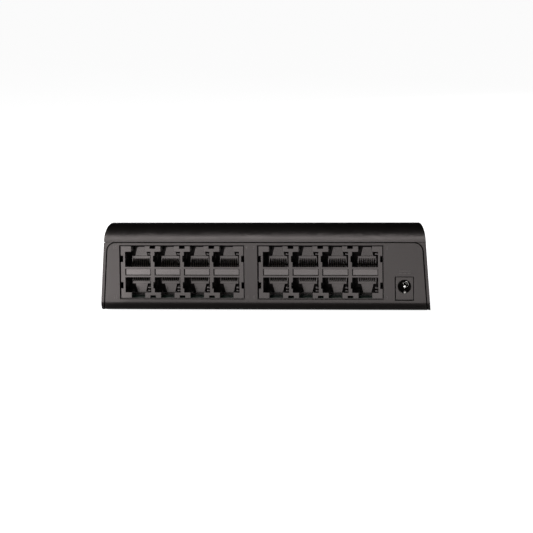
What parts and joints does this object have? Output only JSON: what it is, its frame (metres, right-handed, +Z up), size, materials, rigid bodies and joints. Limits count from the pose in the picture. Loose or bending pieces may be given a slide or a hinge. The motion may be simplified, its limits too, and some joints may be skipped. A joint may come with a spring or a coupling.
{
  "type": "desktop network switch",
  "caption": "Wedge-shaped desktop network switch with two stacked blocks of network jacks and a DC inlet under a rolled hood",
  "frame": {"origin": "centre of the case's box on the surface its feet stand on", "axes": "+Z up, +X to the right as seen facing the jacks, jacks look along -Y"},
  "size_m": [0.1552, 0.105, 0.042],
  "materials": {
    "case_plastic": "fine moulded texture",
    "panel_plastic": "fine moulded texture",
    "jack_plastic": "smooth moulded",
    "insert_plastic": "smooth moulded",
    "spacer_plastic": "smooth moulded",
    "contact_metal": "gold flash over nickel",
    "plated_metal": "nickel plated",
    "tinned_metal": "tinned",
    "circuit_board": "solder mask",
    "chip_plastic": "moulded epoxy",
    "thermal_pad": "soft silicone",
    "heatsink_aluminium": "extruded",
    "capacitor_sleeve": "shrink sleeve",
    "ferrite": "pressed ferrite",
    "can_steel": "drawn can",
    "chip_ceramic": "ceramic",
    "led_lens": "diffused lens",
    "clear_plastic": "moulded clear",
    "smoked_plastic": "smoked gloss",
    "screw_steel": "black zinc",
    "foot_rubber": "soft moulded",
    "label_film": "printed film, left blank"
  },
  "bodies": {
    "switch_case": {"top_cover": "case_plastic", "base_case": "case_plastic", "rear_panel": "panel_plastic", "jack_block_left_housing": "jack_plastic", "jack_block_right_housing": "jack_plastic", "jack_block_left_inserts": "insert_plastic", "jack_block_right_inserts": "insert_plastic", "jack_block_left_spacers": "spacer_plastic", "jack_block_right_spacers": "spacer_plastic", "jack_block_left_pins": "tinned_metal", "jack_block_right_pins": "tinned_metal", "dc_jack_housing": "jack_plastic", "dc_centre_pin": "plated_metal", "dc_ring_contact": "plated_metal", "main_board": "circuit_board", "switch_chip": "chip_plastic", "memory_chip": "chip_plastic", "thermal_pad": "thermal_pad", "heatsink": "heatsink_aluminium", "lan_transformers": "chip_plastic", "capacitors": "capacitor_sleeve", "inductor": "ferrite", "crystal": "can_steel", "regulators": "chip_plastic", "small_parts": "chip_ceramic", "status_leds": "led_lens", "light_pipes": "clear_plastic", "led_window": "smoked_plastic", "case_screws": "screw_steel", "board_screws": "screw_steel", "rubber_feet": "foot_rubber", "rating_label": "label_film"},
    "port_01_springs": {"port_01_contacts": "contact_metal"},
    "port_02_springs": {"port_02_contacts": "contact_metal"},
    "port_03_springs": {"port_03_contacts": "contact_metal"},
    "port_04_springs": {"port_04_contacts": "contact_metal"},
    "port_05_springs": {"port_05_contacts": "contact_metal"},
    "port_06_springs": {"port_06_contacts": "contact_metal"},
    "port_07_springs": {"port_07_contacts": "contact_metal"},
    "port_08_springs": {"port_08_contacts": "contact_metal"},
    "port_09_springs": {"port_09_contacts": "contact_metal"},
    "port_10_springs": {"port_10_contacts": "contact_metal"},
    "port_11_springs": {"port_11_contacts": "contact_metal"},
    "port_12_springs": {"port_12_contacts": "contact_metal"},
    "port_13_springs": {"port_13_contacts": "contact_metal"},
    "port_14_springs": {"port_14_contacts": "contact_metal"},
    "port_15_springs": {"port_15_contacts": "contact_metal"},
    "port_16_springs": {"port_16_contacts": "contact_metal"},
    "inlet_spring": {"dc_leaf_spring": "plated_metal"}
  },
  "joints": [
    {"name": "port_01_spring", "type": "hinge", "parent": "switch_case", "child": "port_01_springs", "pos_m": [0.04725, -0.0463, 0.0212], "axis": [-1, 0, 0], "range_deg": [0, 8], "stiffness_Nm_per_rad": 0.3},
    {"name": "port_02_spring", "type": "hinge", "parent": "switch_case", "child": "port_02_springs", "pos_m": [0.04725, -0.0463, 0.0169], "axis": [1, 0, 0], "range_deg": [0, 8], "stiffness_Nm_per_rad": 0.3},
    {"name": "port_03_spring", "type": "hinge", "parent": "switch_case", "child": "port_03_springs", "pos_m": [0.03329, -0.0463, 0.0212], "axis": [-1, 0, 0], "range_deg": [0, 8], "stiffness_Nm_per_rad": 0.3},
    {"name": "port_04_spring", "type": "hinge", "parent": "switch_case", "child": "port_04_springs", "pos_m": [0.03329, -0.0463, 0.0169], "axis": [1, 0, 0], "range_deg": [0, 8], "stiffness_Nm_per_rad": 0.3},
    {"name": "port_05_spring", "type": "hinge", "parent": "switch_case", "child": "port_05_springs", "pos_m": [0.01931, -0.0463, 0.0212], "axis": [-1, 0, 0], "range_deg": [0, 8], "stiffness_Nm_per_rad": 0.3},
    {"name": "port_06_spring", "type": "hinge", "parent": "switch_case", "child": "port_06_springs", "pos_m": [0.01931, -0.0463, 0.0169], "axis": [1, 0, 0], "range_deg": [0, 8], "stiffness_Nm_per_rad": 0.3},
    {"name": "port_07_spring", "type": "hinge", "parent": "switch_case", "child": "port_07_springs", "pos_m": [0.00534, -0.0463, 0.0212], "axis": [-1, 0, 0], "range_deg": [0, 8], "stiffness_Nm_per_rad": 0.3},
    {"name": "port_08_spring", "type": "hinge", "parent": "switch_case", "child": "port_08_springs", "pos_m": [0.00534, -0.0463, 0.0169], "axis": [1, 0, 0], "range_deg": [0, 8], "stiffness_Nm_per_rad": 0.3},
    {"name": "port_09_spring", "type": "hinge", "parent": "switch_case", "child": "port_09_springs", "pos_m": [-0.01804, -0.0463, 0.0212], "axis": [-1, 0, 0], "range_deg": [0, 8], "stiffness_Nm_per_rad": 0.3},
    {"name": "port_10_spring", "type": "hinge", "parent": "switch_case", "child": "port_10_springs", "pos_m": [-0.01804, -0.0463, 0.0169], "axis": [1, 0, 0], "range_deg": [0, 8], "stiffness_Nm_per_rad": 0.3},
    {"name": "port_11_spring", "type": "hinge", "parent": "switch_case", "child": "port_11_springs", "pos_m": [-0.03202, -0.0463, 0.0212], "axis": [-1, 0, 0], "range_deg": [0, 8], "stiffness_Nm_per_rad": 0.3},
    {"name": "port_12_spring", "type": "hinge", "parent": "switch_case", "child": "port_12_springs", "pos_m": [-0.03202, -0.0463, 0.0169], "axis": [1, 0, 0], "range_deg": [0, 8], "stiffness_Nm_per_rad": 0.3},
    {"name": "port_13_spring", "type": "hinge", "parent": "switch_case", "child": "port_13_springs", "pos_m": [-0.04598, -0.0463, 0.0212], "axis": [-1, 0, 0], "range_deg": [0, 8], "stiffness_Nm_per_rad": 0.3},
    {"name": "port_14_spring", "type": "hinge", "parent": "switch_case", "child": "port_14_springs", "pos_m": [-0.04598, -0.0463, 0.0169], "axis": [1, 0, 0], "range_deg": [0, 8], "stiffness_Nm_per_rad": 0.3},
    {"name": "port_15_spring", "type": "hinge", "parent": "switch_case", "child": "port_15_springs", "pos_m": [-0.05996, -0.0463, 0.0212], "axis": [-1, 0, 0], "range_deg": [0, 8], "stiffness_Nm_per_rad": 0.3},
    {"name": "port_16_spring", "type": "hinge", "parent": "switch_case", "child": "port_16_springs", "pos_m": [-0.05996, -0.0463, 0.0169], "axis": [1, 0, 0], "range_deg": [0, 8], "stiffness_Nm_per_rad": 0.3},
    {"name": "dc_leaf_flex", "type": "hinge", "parent": "switch_case", "child": "inlet_spring", "pos_m": [0.0656, -0.0441, 0.0088], "axis": [1, 0, 0], "range_deg": [0, 5], "stiffness_Nm_per_rad": 0.06}
  ]
}
